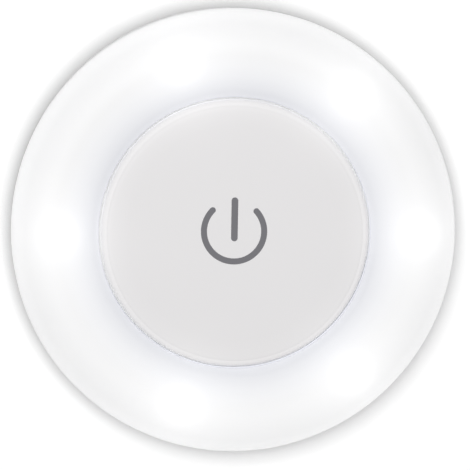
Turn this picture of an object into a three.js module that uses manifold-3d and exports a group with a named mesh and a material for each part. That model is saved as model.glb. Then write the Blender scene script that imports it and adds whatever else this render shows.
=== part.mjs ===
// Round push light for under a cabinet, run on three AAA cells.
// A base sticks to the cabinet, the lamp turns onto it, and the middle of the lamp's face is the switch.
// Units are millimetres. +Z points out of the lit face, and the back of the base's foam pads lies on z = 0.
// The lamp comes out 85 mm across and 22.8 mm high: it is sized outwards and upwards from its three cells.

import * as THREE from "three";
import { mergeVertices } from "three/addons/utils/BufferGeometryUtils.js";
import Module from "manifold-3d";

const wasm = await Module();
wasm.setup();

// Mounting base with its bayonet ring, screw holes and foam pads
const padThickness = 1;
const padLength = 46;
const padWidth = 14;
const padCorner = 3;
const padPitch = 36;
const plateThickness = 1.8;
const plateGap = 0.4;
const plateChamfer = 0.5;
const ringClearance = 1.6;
const bayonetWall = 1.5;
const bayonetGap = 0.5;
const bayonetMargin = 0.4;
const bayonetCount = 3;
const twistDegrees = 26;
const lugThickness = 1.7;
const lugGap = 0.6;
const lugClearance = 0.3;
const lugSpanDegrees = 20;
const leadInDepth = 0.7;
const leadInDegrees = 30;
const holdRibWidth = 1.6;
const holdRibHeight = 0.3;
const screwHolePitch = 52;
const screwHoleDiameter = 4;
const countersinkDiameter = 7.2;
const countersinkDepth = 1.6;

// Three AAA cells in a triangle, with the plates and springs at their ends
const cellDiameter = 10.5;
const cellCanLength = 43.3;
const cellNubDiameter = 3.8;
const cellNubLength = 1.2;
const cellEdge = 0.6;
const cellLift = 0.6;
const cellClearance = 0.3;
const cellSpringLength = 3.2;
const cellSpringWire = 0.5;
const cellSpringBaseDiameter = 6.8;
const cellSpringTipDiameter = 3.8;
const cellSpringTurns = 3;
const contactThickness = 0.4;
const contactGap = 0.2;
const contactTouch = 0.3;
const contactWidth = 8;
const contactHeight = 7.5;
const tabWidth = 2;
const tabInset = 0.8;
const tabStandOut = 0.6;
const slotClearance = 0.3;

// Rear housing: side wall, tray, cell wells, bayonet lip, switch pit, bosses and the trough for the lens
const wallThickness = 1.8;
const wallDraft = 0.5;
const footFillet = 0.9;
const skirtLift = 1.4;
const lipWidth = 2.3;
const lipThickness = 1.6;
const lipLift = 0.8;
const stopRise = 2.2;
const stopDegrees = 3;
const stopGapDegrees = 0.6;
const entryMarginDegrees = 1.5;
const trayThickness = 1.3;
const wellWall = 1;
const wellEndWall = 1.2;
const wellLift = 0.6;
const troughWidth = 3;
const troughClearance = 0.4;
const troughWall = 1.2;
const pitWall = 1.3;
const pitClearance = 0.7;
const pitHookRoom = 2.8;
const pitCornerCut = 1.1;
const bossRadius = 2.6;
const bossFloor = 1;
const postRadius = 1.8;

// Circuit board and what is soldered to it
const boardStandoff = 1;
const boardThickness = 1.2;
const boardGap = 0.5;
const solderGap = 0.3;
const ledSide = 5;
const ledBodyHeight = 1.3;
const ledLensDiameter = 4;
const ledLensHeight = 0.3;
const resistorLength = 3.2;
const resistorWidth = 1.6;
const resistorHeight = 0.6;
const resistorCapLength = 0.5;
const resistorWaist = 0.1;
const resistorPitchRadius = 13.5;
const switchSide = 8;
const switchHeight = 5.8;
const switchPinSide = 0.6;
const switchPinRow = 6.4;
const switchPinPitch = 2.5;
const switchPinStandOut = 0.5;
const plungerDiameter = 3;
const plungerClearance = 0.3;
const plungerDepth = 3.5;
const plungerChamfer = 0.4;

// Reflector ring over the board, and the self-tapping screws that hold both
const reflectorWall = 0.8;
const reflectorFloor = 0.8;
const reflectorGap = 0.6;
const reflectorRim = 1.2;
const reflectorRise = 1.4;
const windowClearance = 0.3;
const pocketRadius = 2.4;
const pocketFloor = 0.7;
const screwDiameter = 2;
const screwLength = 6.6;
const screwTip = 1.4;
const screwHeadDiameter = 3.8;
const screwHeadHeight = 1.1;
const screwClearance = 0.3;

// Ring lens
const lensWidth = 16.6;
const seamDrop = 2.5;
const seamGap = 0.3;
const crestRise = 4.3;
const lensThickness = 1.5;
const lensSkirt = 1.4;
const lensInnerDrop = 1;
const lensLipRadius = 0.5;
const spigotDepth = 1.6;
const spigotWall = 1;
const spigotGap = 0.3;
const spigotStep = 0.9;
const collarGap = 0.3;

// Push button with its hooks, ribs and return springs
const buttonGap = 0.4;
const buttonStandOut = 1.2;
const buttonCrown = 0.6;
const buttonFillet = 1.1;
const buttonThickness = 1.6;
const buttonSkirtWall = 1.4;
const buttonTravel = 1.2;
const travelClearance = 0.4;
const hookSetback = 1.3;
const hookThickness = 1.4;
const hookBarb = 1;
const hookWidth = 3.6;
const hookBarbHeight = 1.2;
const hookClearance = 0.3;
const hookFlexRoom = 0.9;
const plungerBossDiameter = 6;
const plungerBossDepth = 0.5;
const plungerGap = 0.2;
const ribCount = 6;
const ribThickness = 0.9;
const ribDepth = 0.5;
const springSetback = 8.7;
const springDiameter = 4.4;
const springWire = 0.4;
const springTurns = 2.25;
const springTouch = 0.3;
const springPostDiameter = 2.2;
const springPostLength = 1.1;

// Directions, in degrees counter-clockwise from +X as seen from the front
const cellDegrees = [90, 210, 330];
const cornerDegrees = [30, 150, 270];
const ledDegrees = [0, 51, 109, 180, 251, 309];
const screwHoleDegrees = [0, 180];

// Facet counts, and the overrun of a cut past the face that it opens
const roundSides = 60;
const cellSides = 20;
const smallSides = 16;
const pinSides = 10;
const filletSteps = 3;
const shoulderSteps = 6;
const crownSteps = 4;
const innerSteps = 4;
const coilSteps = 8;
const wireSides = 5;
const overrun = 1;
const weld = 1e-4;

// Cells: neighbouring wells share one wall at each corner, which settles how far out the cells lie.
const cellRadius = cellDiameter / 2;
const wellRadius = cellRadius + cellClearance;
const contactRoom = contactGap + contactThickness;
const cellRoom = cellNubLength + cellCanLength + cellSpringLength + 3 * contactTouch;
const wellHalfLength = cellRoom / 2 + contactRoom;
const contactX = wellHalfLength - contactGap - contactThickness / 2;
const halfCorner = THREE.MathUtils.degToRad(30);
const wellInnerSide = wellHalfLength * Math.tan(halfCorner) + wellWall / 2 / Math.cos(halfCorner);
const cellOffset = wellInnerSide + wellRadius;

// Radii, built outwards from the corners of the contact plates
const plateCorner = Math.hypot(contactX + contactThickness / 2, cellOffset + contactWidth / 2);
const bayonetRadius = plateCorner + ringClearance + bayonetWall;
const lipInnerRadius = bayonetRadius + bayonetGap;
const innerRadius = lipInnerRadius + lipWidth;
const lampRadius = innerRadius + wallThickness;
const footInnerRadius = innerRadius - wallDraft;
const lugOuterRadius = innerRadius - lugGap;
const spigotOuter = innerRadius - spigotGap;
const spigotInner = spigotOuter - spigotWall;
const boardRadius = spigotInner - boardGap;
const boreRadius = lampRadius - lensWidth;
const buttonRadius = boreRadius - buttonGap;
const collarRadius = boreRadius + lensThickness;
const crestRadius = (boreRadius + lampRadius) / 2;
const reflectorInner = collarRadius + reflectorGap;
const reflectorOuter = boardRadius - reflectorGap;
const ledPitchRadius = reflectorOuter - reflectorRim - windowClearance - ledSide / 2;
const bossPitchRadius = (reflectorInner + reflectorOuter) / 2;
const pitInradius = cellOffset - wellRadius - wellWall;
const pitCornerRadius = 2 * pitInradius - pitCornerCut;
const hookRoom = pitCornerRadius - pitHookRoom - hookBarb;
const hookOuterRadius = Math.min(hookRoom, buttonRadius - buttonSkirtWall - hookSetback);
const hookInnerRadius = hookOuterRadius - hookThickness;
const springPitchRadius = buttonRadius - springSetback;
const screwHoleRadius = screwDiameter / 2 + screwClearance;

// Heights, stacked up from the back of the pads
const plateTop = padThickness + plateThickness;
const lipBottom = plateTop + lipLift;
const lipTop = lipBottom + lipThickness;
const lugBottom = lipTop + lugClearance;
const lugTop = lugBottom + lugThickness;
const bayonetTop = lugTop + bayonetMargin;
const cellAxisHeight = plateTop + cellLift + cellRadius;
const contactBottom = cellAxisHeight - contactHeight / 2;
const contactTop = contactBottom + contactHeight;
const trayBottom = cellAxisHeight + wellRadius;
const trayTop = trayBottom + trayThickness;
const boardBottom = trayTop + boardStandoff;
const boardTop = boardBottom + boardThickness;
const solderTop = boardTop + solderGap;
const screwSeat = boardTop + pocketFloor;
const pitFloorTop = boardBottom - switchHeight - pitClearance;
const seamHeight = boardBottom - seamDrop;
const crestHeight = boardTop + crestRise;
const lensInnerHeight = crestHeight - lensInnerDrop;
const buttonEdgeHeight = lensInnerHeight + buttonStandOut;
const buttonUnderside = buttonEdgeHeight - buttonThickness;
const plungerTop = buttonUnderside - plungerBossDepth - plungerGap;

const whiteShell = new THREE.MeshStandardMaterial({ color: 0xeceded, roughness: 0.42 });
const milkyLens = new THREE.MeshStandardMaterial({ color: 0xf2f5fa, roughness: 0.3, emissive: 0x9aa4b4 });
const buttonWhite = new THREE.MeshStandardMaterial({ color: 0xe5e4e4, roughness: 0.5 });
const reflectorWhite = new THREE.MeshStandardMaterial({ color: 0xf7f7f7, roughness: 0.6 });
const boardWhite = new THREE.MeshStandardMaterial({ color: 0xf0f1ec, roughness: 0.45 });
const foamWhite = new THREE.MeshStandardMaterial({ color: 0xe2e3df, roughness: 0.95 });
const cellWrap = new THREE.MeshStandardMaterial({ color: 0x4c5560, roughness: 0.35 });
const plateNickel = new THREE.MeshStandardMaterial({ color: 0xc9c8c2, roughness: 0.3, metalness: 1 });
const springSteel = new THREE.MeshStandardMaterial({ color: 0xb9bbbd, roughness: 0.28, metalness: 1 });
const ledPackage = new THREE.MeshStandardMaterial({ color: 0xf3e9b4, roughness: 0.4 });
const chipBlack = new THREE.MeshStandardMaterial({ color: 0x232425, roughness: 0.5 });

// Solids

// A closed geometry as a solid that can be joined and cut.
function solidOf(geometry) {
  const bare = geometry.index ? geometry.toNonIndexed() : geometry.clone();
  bare.deleteAttribute("normal");
  bare.deleteAttribute("uv");
  const merged = mergeVertices(bare, weld);
  return new wasm.Manifold(
    new wasm.Mesh({
      numProp: 3,
      vertProperties: merged.attributes.position.array,
      triVerts: new Uint32Array(merged.index.array),
    }),
  );
}

function joined(first, ...others) {
  return others.reduce((sum, other) => sum.add(other), first);
}

function cut(first, ...others) {
  return others.reduce((rest, other) => rest.subtract(other), first);
}

function piece(name, material, solid) {
  const { vertProperties, triVerts } = solid.getMesh();
  const geometry = new THREE.BufferGeometry();
  geometry.setAttribute("position", new THREE.BufferAttribute(new Float32Array(vertProperties), 3));
  geometry.setIndex(new THREE.BufferAttribute(new Uint32Array(triVerts), 1));
  geometry.computeVertexNormals();
  const mesh = new THREE.Mesh(geometry, material);
  mesh.name = name;
  return mesh;
}

// A profile of [radius, height] points, counter-clockwise, turned about Z.
function turned(profile, sides = roundSides) {
  const points = profile.map(([radius, height]) => new THREE.Vector2(radius, height));
  return solidOf(new THREE.LatheGeometry(points, sides).rotateX(Math.PI / 2));
}

// A closed profile that doesn't reach the axis, turned about Z.
function turnedRing(profile, sides = roundSides) {
  return turned([...profile, profile[0]], sides);
}

function disc(radius, bottom, top, sides = smallSides) {
  return turned([[0, bottom], [radius, bottom], [radius, top], [0, top]], sides);
}

// Points on a stretch of an ellipse, from one angle to another.
function arc(centreRadius, centreHeight, across, up, startDegrees, endDegrees, steps) {
  return Array.from({ length: steps + 1 }, (_, i) => {
    const angle = THREE.MathUtils.degToRad(startDegrees + ((endDegrees - startDegrees) * i) / steps);
    return [centreRadius + across * Math.cos(angle), centreHeight + up * Math.sin(angle)];
  });
}

function shapeOf(points) {
  return new THREE.Shape(points.map(([x, y]) => new THREE.Vector2(x, y)));
}

function raised(shape, bottom, top, curveSegments = smallSides) {
  const depth = top - bottom;
  const geometry = new THREE.ExtrudeGeometry(shape, { depth, bevelEnabled: false, curveSegments });
  return solidOf(geometry.translate(0, 0, bottom));
}

function block(low, high) {
  const size = high.map((value, axis) => value - low[axis]);
  const centre = high.map((value, axis) => (value + low[axis]) / 2);
  return solidOf(new THREE.BoxGeometry(...size).translate(...centre));
}

// The same solid moved out along +X and turned about Z.
function placed(solid, degrees, outwards = 0) {
  return solid.translate([outwards, 0, 0]).rotate([0, 0, degrees]);
}

function allRound(degreesList, solid, outwards = 0) {
  return degreesList.map((degrees) => placed(solid, degrees, outwards));
}

// A stretch of a ring, with one point every facet step.
function sector(inner, outer, startDegrees, endDegrees, bottom, top) {
  const facet = 360 / roundSides;
  const steps = Math.max(1, Math.ceil((endDegrees - startDegrees) / facet));
  const outside = arc(0, 0, outer, outer, startDegrees, endDegrees, steps);
  const inside = arc(0, 0, inner, inner, endDegrees, startDegrees, steps);
  return raised(shapeOf([...outside, ...inside]), bottom, top);
}

// Mounting base

const bayonetDegrees = Array.from({ length: bayonetCount }, (_, i) => (360 / bayonetCount) * i);

// The ramp under a lug's leading end, which lifts it onto the housing's lip.
function lugLeadIn() {
  const angle = THREE.MathUtils.degToRad(lugSpanDegrees / 2);
  const length = leadInDepth / Math.tan(THREE.MathUtils.degToRad(leadInDegrees));
  const end = lugOuterRadius * Math.tan(angle) + overrun;
  const start = bayonetRadius * Math.tan(angle) - length;
  const low = lugBottom - overrun;
  const ramp = shapeOf([[start, lugBottom], [start, low], [end, low], [end, lugBottom + leadInDepth]]);
  const depth = lugOuterRadius - bayonetRadius + overrun;
  const geometry = new THREE.ExtrudeGeometry(ramp, { depth, bevelEnabled: false });
  geometry.rotateX(Math.PI / 2).rotateZ(Math.PI / 2);
  return solidOf(geometry.translate(bayonetRadius, 0, 0));
}

function mountingBase() {
  const plateRadius = footInnerRadius - plateGap;
  const ribOuter = cellOffset + holdRibWidth / 2;
  const ribTop = plateTop + holdRibHeight;
  const plate = turned([
    [0, padThickness],
    [plateRadius - plateChamfer, padThickness],
    [plateRadius, padThickness + plateChamfer],
    [plateRadius, plateTop],
    [bayonetRadius, plateTop],
    [bayonetRadius, bayonetTop],
    [bayonetRadius - bayonetWall, bayonetTop],
    [bayonetRadius - bayonetWall, plateTop],
    [ribOuter, plateTop],
    [ribOuter, ribTop],
    [ribOuter - holdRibWidth, ribTop],
    [ribOuter - holdRibWidth, plateTop],
    [0, plateTop],
  ]);
  const half = lugSpanDegrees / 2;
  const root = bayonetRadius - bayonetWall / 2;
  const lug = sector(root, lugOuterRadius, -half, half, lugBottom, lugTop).subtract(lugLeadIn());
  const screwHole = turned(
    [
      [0, padThickness - overrun],
      [screwHoleDiameter / 2, padThickness - overrun],
      [screwHoleDiameter / 2, plateTop - countersinkDepth],
      [countersinkDiameter / 2, plateTop],
      [countersinkDiameter / 2, plateTop + overrun],
      [0, plateTop + overrun],
    ],
    smallSides,
  );
  const whole = joined(plate, ...allRound(bayonetDegrees, lug));
  return cut(whole, ...allRound(screwHoleDegrees, screwHole, screwHolePitch / 2));
}

function adhesivePad() {
  const x = padLength / 2;
  const y = padWidth / 2;
  const pad = new THREE.Shape();
  pad.moveTo(padCorner - x, -y);
  pad.lineTo(x - padCorner, -y);
  pad.absarc(x - padCorner, padCorner - y, padCorner, -Math.PI / 2, 0);
  pad.absarc(x - padCorner, y - padCorner, padCorner, 0, Math.PI / 2);
  pad.absarc(padCorner - x, y - padCorner, padCorner, Math.PI / 2, Math.PI);
  pad.absarc(padCorner - x, padCorner - y, padCorner, Math.PI, Math.PI * 1.5);
  return raised(pad, 0, padThickness, filletSteps);
}

// Cells and contacts

function cell() {
  const canLow = contactX - contactThickness / 2 - contactTouch - cellNubLength - cellCanLength;
  const canHigh = canLow + cellCanLength;
  const nubRadius = cellNubDiameter / 2;
  const can = turned(
    [
      [0, canLow],
      [cellRadius - cellEdge, canLow],
      [cellRadius, canLow + cellEdge],
      [cellRadius, canHigh - cellEdge],
      [cellRadius - cellEdge, canHigh],
      [nubRadius, canHigh],
      [nubRadius, canHigh + cellNubLength],
      [0, canHigh + cellNubLength],
    ],
    cellSides,
  );
  return can.rotate([0, 90, 0]).translate([0, cellOffset, cellAxisHeight]);
}

// A strip of sheet metal on edge, bent along a line of [x, y] points, with mitred bends.
function bentStrip(points, thickness, bottom, top) {
  const line = points.map(([x, y]) => new THREE.Vector2(x, y));
  const side = (from, to) => {
    const along = to.clone().sub(from).normalize();
    return new THREE.Vector2(-along.y, along.x);
  };
  const mitre = (i) => {
    const before = i > 0 ? side(line[i - 1], line[i]) : side(line[i], line[i + 1]);
    const after = i < line.length - 1 ? side(line[i], line[i + 1]) : before;
    const middle = before.clone().add(after).normalize();
    return middle.multiplyScalar(thickness / 2 / middle.dot(before));
  };
  const left = line.map((point, i) => point.clone().add(mitre(i)));
  const right = line.map((point, i) => point.clone().sub(mitre(i))).reverse();
  return raised(new THREE.Shape([...left, ...right]), bottom, top);
}

// The plate at a cell's end, from its outer edge to its inner edge.
function plateLine() {
  return [
    [contactX, cellOffset + contactWidth / 2],
    [contactX, cellOffset - contactWidth / 2],
  ];
}

// A point reflected in the line from the centre through the corner at that angle.
function acrossCorner([x, y], degrees) {
  const twice = THREE.MathUtils.degToRad(2 * degrees);
  return [x * Math.cos(twice) + y * Math.sin(twice), x * Math.sin(twice) - y * Math.cos(twice)];
}

// The bridge between one cell's nub and the next cell's spring, round the corner at 30 degrees.
function bridgeLine() {
  const near = plateLine();
  const far = near.map((point) => acrossCorner(point, cornerDegrees[0])).reverse();
  return [...near, ...far];
}

function tab(clearance, bottom, top) {
  const middle = cellOffset - contactWidth / 2 + tabInset + tabWidth / 2;
  const x = contactThickness / 2 + clearance;
  const y = tabWidth / 2 + clearance;
  return block([contactX - x, middle - y, bottom], [contactX + x, middle + y, top]);
}

function nubTerminal() {
  const plate = bentStrip(plateLine(), contactThickness, contactBottom, contactTop);
  return joined(plate, tab(0, contactTop - tabWidth, boardTop + tabStandOut));
}

function mirroredInX(solid) {
  return solid.mirror([1, 0, 0]);
}

// Wire wound from one radius to another along +Z, as one tube with closed ends.
function wound(startRadius, endRadius, wireRadius, turns, length) {
  const steps = Math.round(turns * coilSteps);
  const climb = length - 2 * wireRadius;
  const at = (i) => {
    const share = i / steps;
    const angle = share * turns * 2 * Math.PI;
    const radius = startRadius + (endRadius - startRadius) * share;
    const height = wireRadius + climb * share;
    return new THREE.Vector3(radius * Math.cos(angle), radius * Math.sin(angle), height);
  };
  const positions = [];
  for (let i = 0; i <= steps; i++) {
    const point = at(i);
    const outwards = new THREE.Vector3(point.x, point.y, 0).normalize();
    const tangent = at(i + 1).sub(at(i - 1)).normalize();
    const upwards = new THREE.Vector3().crossVectors(tangent, outwards).normalize();
    const across = new THREE.Vector3().crossVectors(upwards, tangent);
    for (let j = 0; j < wireSides; j++) {
      const angle = (2 * Math.PI * j) / wireSides;
      const corner = point.clone().addScaledVector(across, wireRadius * Math.cos(angle));
      positions.push(...corner.addScaledVector(upwards, wireRadius * Math.sin(angle)));
    }
  }
  const index = [];
  for (let i = 0; i < steps; i++) {
    for (let j = 0; j < wireSides; j++) {
      const a = i * wireSides + j;
      const b = i * wireSides + ((j + 1) % wireSides);
      index.push(a, b, a + wireSides, b, b + wireSides, a + wireSides);
    }
  }
  const last = steps * wireSides;
  for (let j = 1; j < wireSides - 1; j++) {
    index.push(0, j + 1, j);
    index.push(last, last + j, last + j + 1);
  }
  const geometry = new THREE.BufferGeometry();
  geometry.setAttribute("position", new THREE.Float32BufferAttribute(positions, 3));
  geometry.setIndex(index);
  const solid = solidOf(geometry);
  reportCoilGap(at, steps, wireRadius);
  return solid;
}

// Prints the least gap between a coil's turns, measured from points on its line half a turn or more apart.
function reportCoilGap(at, steps, wireRadius) {
  const line = Array.from({ length: steps + 1 }, (_, i) => at(i));
  let least = Infinity;
  line.forEach((point, i) => {
    for (let j = i + coilSteps / 2 + 1; j < line.length; j++) {
      least = Math.min(least, point.distanceTo(line[j]) - 2 * wireRadius);
    }
  });
  console.log("coil gap " + least.toFixed(2) + " mm");
}

function cellSpring() {
  const base = cellSpringBaseDiameter / 2;
  const tip = cellSpringTipDiameter / 2;
  const coil = wound(base, tip, cellSpringWire / 2, cellSpringTurns, cellSpringLength);
  const foot = contactTouch + contactThickness / 2 - contactX;
  return coil.rotate([0, 90, 0]).translate([foot, cellOffset, cellAxisHeight]);
}

// Rear housing

// A triangle with its corners cut off square, with a flat side towards each cell.
function cutTriangle(inradius, cornerRadius) {
  const half = 60 - THREE.MathUtils.radToDeg(Math.acos(inradius / cornerRadius));
  const ends = (corner) => arc(0, 0, cornerRadius, cornerRadius, corner - half, corner + half, 1);
  return shapeOf(cornerDegrees.flatMap(ends));
}

// The tunnel that a cell lies in, open towards the base.
function cellTunnel() {
  const tunnel = new THREE.Shape();
  tunnel.moveTo(-wellRadius, -cellAxisHeight);
  tunnel.lineTo(wellRadius, -cellAxisHeight);
  tunnel.lineTo(wellRadius, 0);
  tunnel.absarc(0, 0, wellRadius, 0, Math.PI);
  const geometry = new THREE.ExtrudeGeometry(tunnel, {
    depth: 2 * wellHalfLength,
    bevelEnabled: false,
    curveSegments: cellSides / 2,
  });
  geometry.rotateX(Math.PI / 2).rotateZ(Math.PI / 2);
  return solidOf(geometry.translate(-wellHalfLength, cellOffset, cellAxisHeight));
}

function wellBlock() {
  const x = wellHalfLength + wellEndWall;
  const y = wellRadius + wellWall;
  return block([-x, cellOffset - y, bayonetTop + wellLift], [x, cellOffset + y, trayTop]);
}

function housingShell() {
  const troughTop = seamHeight - spigotDepth - troughClearance;
  const troughInner = innerRadius - troughWidth;
  const foot = lampRadius - wallDraft;
  return turned([
    [0, trayBottom],
    [troughInner - troughWall, trayBottom],
    [troughInner - troughWall, troughTop - trayThickness],
    [innerRadius, troughTop - trayThickness],
    [footInnerRadius, skirtLift],
    ...arc(foot - footFillet, skirtLift + footFillet, footFillet, footFillet, -90, 0, filletSteps),
    [lampRadius, seamHeight],
    [innerRadius, seamHeight],
    [innerRadius, troughTop],
    [troughInner, troughTop],
    [troughInner, trayTop],
    [0, trayTop],
  ]);
}

// The lip that the base's lugs hook over, with its entry gaps, and the ribs that stop the turn.
function bayonetLip() {
  const half = lugSpanDegrees / 2;
  const entryStart = -twistDegrees - half - entryMarginDegrees;
  const entryEnd = -twistDegrees + half + entryMarginDegrees;
  const nextEntry = 360 / bayonetCount + entryStart;
  const root = innerRadius + wallThickness / 2;
  const lip = sector(lipInnerRadius, root, entryEnd, nextEntry, lipBottom, lipTop);
  const lockStop = half + stopGapDegrees;
  const stopTop = lipTop + stopRise;
  const stopFoot = lipTop - lipThickness / 2;
  const lockRib = sector(lipInnerRadius, root, lockStop, lockStop + stopDegrees, stopFoot, stopTop);
  const freeRib = sector(lipInnerRadius, root, nextEntry - stopDegrees, nextEntry, stopFoot, stopTop);
  return [lip, lockRib, freeRib].flatMap((solid) => allRound(bayonetDegrees, solid));
}

function rearHousing() {
  const pilotBottom = screwSeat - screwLength - screwClearance;
  const boss = disc(bossRadius, pilotBottom - bossFloor, boardBottom, pinSides);
  const post = disc(postRadius, trayTop - trayThickness / 2, boardBottom, pinSides);
  const pilot = disc(screwHoleRadius, pilotBottom, boardBottom + overrun, pinSides);
  const pit = cutTriangle(pitInradius, pitCornerRadius);
  const pitCup = cutTriangle(pitInradius + wellWall / 2, pitCornerRadius + pitWall);
  const wells = cellDegrees.map((degrees) => placed(wellBlock(), degrees - cellDegrees[0]));
  const tunnels = cellDegrees.map((degrees) => placed(cellTunnel(), degrees - cellDegrees[0]));
  const slotWidth = contactThickness + 2 * slotClearance;
  const slot = bentStrip(bridgeLine(), slotWidth, 0, contactTop + slotClearance);
  const slots = cornerDegrees.map((degrees) => placed(slot, degrees - cornerDegrees[0]));
  const solid = joined(
    housingShell(),
    ...bayonetLip(),
    ...wells,
    raised(pitCup, pitFloorTop - trayThickness, trayTop),
    ...allRound(cellDegrees, boss, bossPitchRadius),
    ...allRound(cornerDegrees, post, bossPitchRadius),
  );
  return cut(
    solid,
    raised(pit, pitFloorTop, trayTop + overrun),
    ...tunnels,
    ...slots,
    ...allRound(cellDegrees, pilot, bossPitchRadius),
    ...terminalTabs(slotClearance, contactTop, trayTop + overrun),
  );
}

// Both solder tabs at the corner where the string of cells begins and ends.
function terminalTabs(clearance, bottom, top) {
  const plain = tab(clearance, bottom, top);
  const nubSide = placed(plain, cellDegrees[2] - cellDegrees[0]);
  const springSide = placed(mirroredInX(plain), cellDegrees[1] - cellDegrees[0]);
  return [nubSide, springSide];
}

// Circuit board and its parts

function circuitBoard() {
  const hookSlot = block(
    [hookInnerRadius - hookFlexRoom, -hookWidth / 2 - hookClearance, boardBottom - overrun],
    [hookOuterRadius + hookClearance, hookWidth / 2 + hookClearance, boardTop + overrun],
  );
  const drill = (holeRadius) => disc(holeRadius, boardBottom - overrun, boardTop + overrun, pinSides);
  const pinHole = drill(switchPinSide / 2 + slotClearance);
  const pinHoles = switchPinPlaces().map(([x, y]) => pinHole.translate([x, y, 0]));
  return cut(
    disc(boardRadius, boardBottom, boardTop, roundSides),
    drill(plungerDiameter / 2 + plungerClearance + slotClearance),
    ...allRound(cornerDegrees, hookSlot),
    ...allRound(cellDegrees, drill(screwHoleRadius), bossPitchRadius),
    ...pinHoles,
    ...terminalTabs(slotClearance, boardBottom - overrun, boardTop + overrun),
  );
}

function led() {
  const side = ledSide / 2;
  const bodyTop = solderTop + ledBodyHeight;
  const body = block([-side, -side, solderTop], [side, side, bodyTop]);
  return joined(body, disc(ledLensDiameter / 2, solderTop + ledBodyHeight / 2, bodyTop + ledLensHeight));
}

// A chip resistor, with a plated cap at each end that is a little wider than its body.
function resistor() {
  const x = resistorWidth / 2;
  const y = resistorLength / 2;
  const waistX = x - resistorWaist;
  const waistY = y - resistorCapLength;
  const quarter = [[x, -y], [x, -waistY], [waistX, -waistY], [waistX, waistY], [x, waistY], [x, y]];
  const opposite = quarter.map(([px, py]) => [-px, -py]);
  return raised(shapeOf([...quarter, ...opposite]), solderTop, solderTop + resistorHeight);
}

function switchPinPlaces() {
  const row = switchPinRow / 2;
  return [-row, row].flatMap((x) => [-switchPinPitch, 0, switchPinPitch].map((y) => [x, y]));
}

function switchBody() {
  const side = switchSide / 2;
  const bottom = boardBottom - switchHeight;
  const half = switchPinSide / 2;
  const pin = block([-half, -half, boardBottom - switchPinSide], [half, half, boardTop + switchPinStandOut]);
  const pins = switchPinPlaces().map(([x, y]) => pin.translate([x, y, 0]));
  const plungerLow = boardBottom - plungerDepth;
  const bore = disc(
    plungerDiameter / 2 + plungerClearance,
    plungerLow - buttonTravel - plungerClearance,
    boardBottom + overrun,
  );
  return joined(block([-side, -side, bottom], [side, side, boardBottom]), ...pins).subtract(bore);
}

function switchPlunger() {
  const radius = plungerDiameter / 2;
  return turned(
    [
      [0, boardBottom - plungerDepth],
      [radius, boardBottom - plungerDepth],
      [radius, plungerTop - plungerChamfer],
      [radius - plungerChamfer, plungerTop],
      [0, plungerTop],
    ],
    smallSides,
  );
}

// Reflector ring

function reflectorRing() {
  const top = boardTop + reflectorRise;
  const under = top - reflectorFloor;
  const channel = turnedRing([
    [reflectorInner, boardTop],
    [reflectorInner + reflectorWall, boardTop],
    [reflectorInner + reflectorWall, under],
    [reflectorOuter - reflectorWall, under],
    [reflectorOuter - reflectorWall, boardTop],
    [reflectorOuter, boardTop],
    [reflectorOuter, top],
    [reflectorInner, top],
  ]);
  const half = ledSide / 2 + windowClearance;
  const windowCut = block([-half, -half, boardTop - overrun], [half, half, top + overrun]);
  const seat = disc(pocketRadius + reflectorWall, boardTop, top);
  const pocket = disc(pocketRadius, screwSeat, top + overrun);
  const hole = disc(screwHoleRadius, boardTop - overrun, top + overrun, pinSides);
  return cut(
    joined(channel, ...allRound(cellDegrees, seat, bossPitchRadius)),
    ...allRound(ledDegrees, windowCut, ledPitchRadius),
    ...allRound(cellDegrees, pocket, bossPitchRadius),
    ...allRound(cellDegrees, hole, bossPitchRadius),
  );
}

function boardScrew() {
  const shaft = screwDiameter / 2;
  const head = screwHeadDiameter / 2;
  const seat = screwSeat + screwClearance;
  const top = seat + screwHeadHeight;
  return turned(
    [
      [0, seat - screwLength],
      [shaft, seat - screwLength + screwTip],
      [shaft, seat],
      [head, seat],
      [head, top - screwHeadHeight / 2],
      [head - screwHeadHeight / 2, top],
      [0, top],
    ],
    pinSides,
  );
}

// Ring lens: a raised shoulder outside, a crest over the light sources, and a fall to the button's bore.
function ringLens() {
  const bottom = seamHeight + seamGap;
  const shoulderBase = bottom + lensSkirt;
  const across = lampRadius - crestRadius;
  const rise = crestHeight - shoulderBase;
  const fall = crestRadius - boreRadius - lensLipRadius;
  const innerCrest = crestHeight - lensThickness;
  const innerFall = lensInnerHeight - lensThickness;
  const lip = boreRadius + lensLipRadius;
  return turnedRing([
    [spigotInner, seamHeight - spigotDepth],
    [spigotOuter, seamHeight - spigotDepth],
    [spigotOuter, bottom],
    [lampRadius, bottom],
    ...arc(crestRadius, shoulderBase, across, rise, 0, 90, shoulderSteps),
    ...arc(crestRadius, lensInnerHeight, fall, lensInnerDrop, 90, 180, crownSteps).slice(1, -1),
    ...arc(lip, lensInnerHeight - lensLipRadius, lensLipRadius, lensLipRadius, 90, 180, filletSteps),
    [boreRadius, boardTop + collarGap],
    [collarRadius, boardTop + collarGap],
    ...arc(crestRadius, innerFall, crestRadius - collarRadius, lensInnerDrop, 180, 90, innerSteps).slice(0, -1),
    ...arc(crestRadius, shoulderBase, across - lensThickness, innerCrest - shoulderBase, 90, 0, innerSteps),
    [spigotInner, bottom + spigotStep],
  ]);
}

// Push button

function buttonCap() {
  const skirtInner = buttonRadius - buttonSkirtWall;
  const skirtBottom = boardTop + buttonTravel + travelClearance;
  const flat = buttonRadius - buttonFillet;
  return turned([
    [0, buttonUnderside],
    [skirtInner, buttonUnderside],
    [skirtInner, skirtBottom],
    [buttonRadius, skirtBottom],
    ...arc(flat, buttonEdgeHeight - buttonFillet, buttonFillet, buttonFillet, 0, 90, filletSteps),
    ...arc(0, buttonEdgeHeight, flat, buttonCrown, 0, 90, crownSteps).slice(1),
  ]);
}

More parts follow.
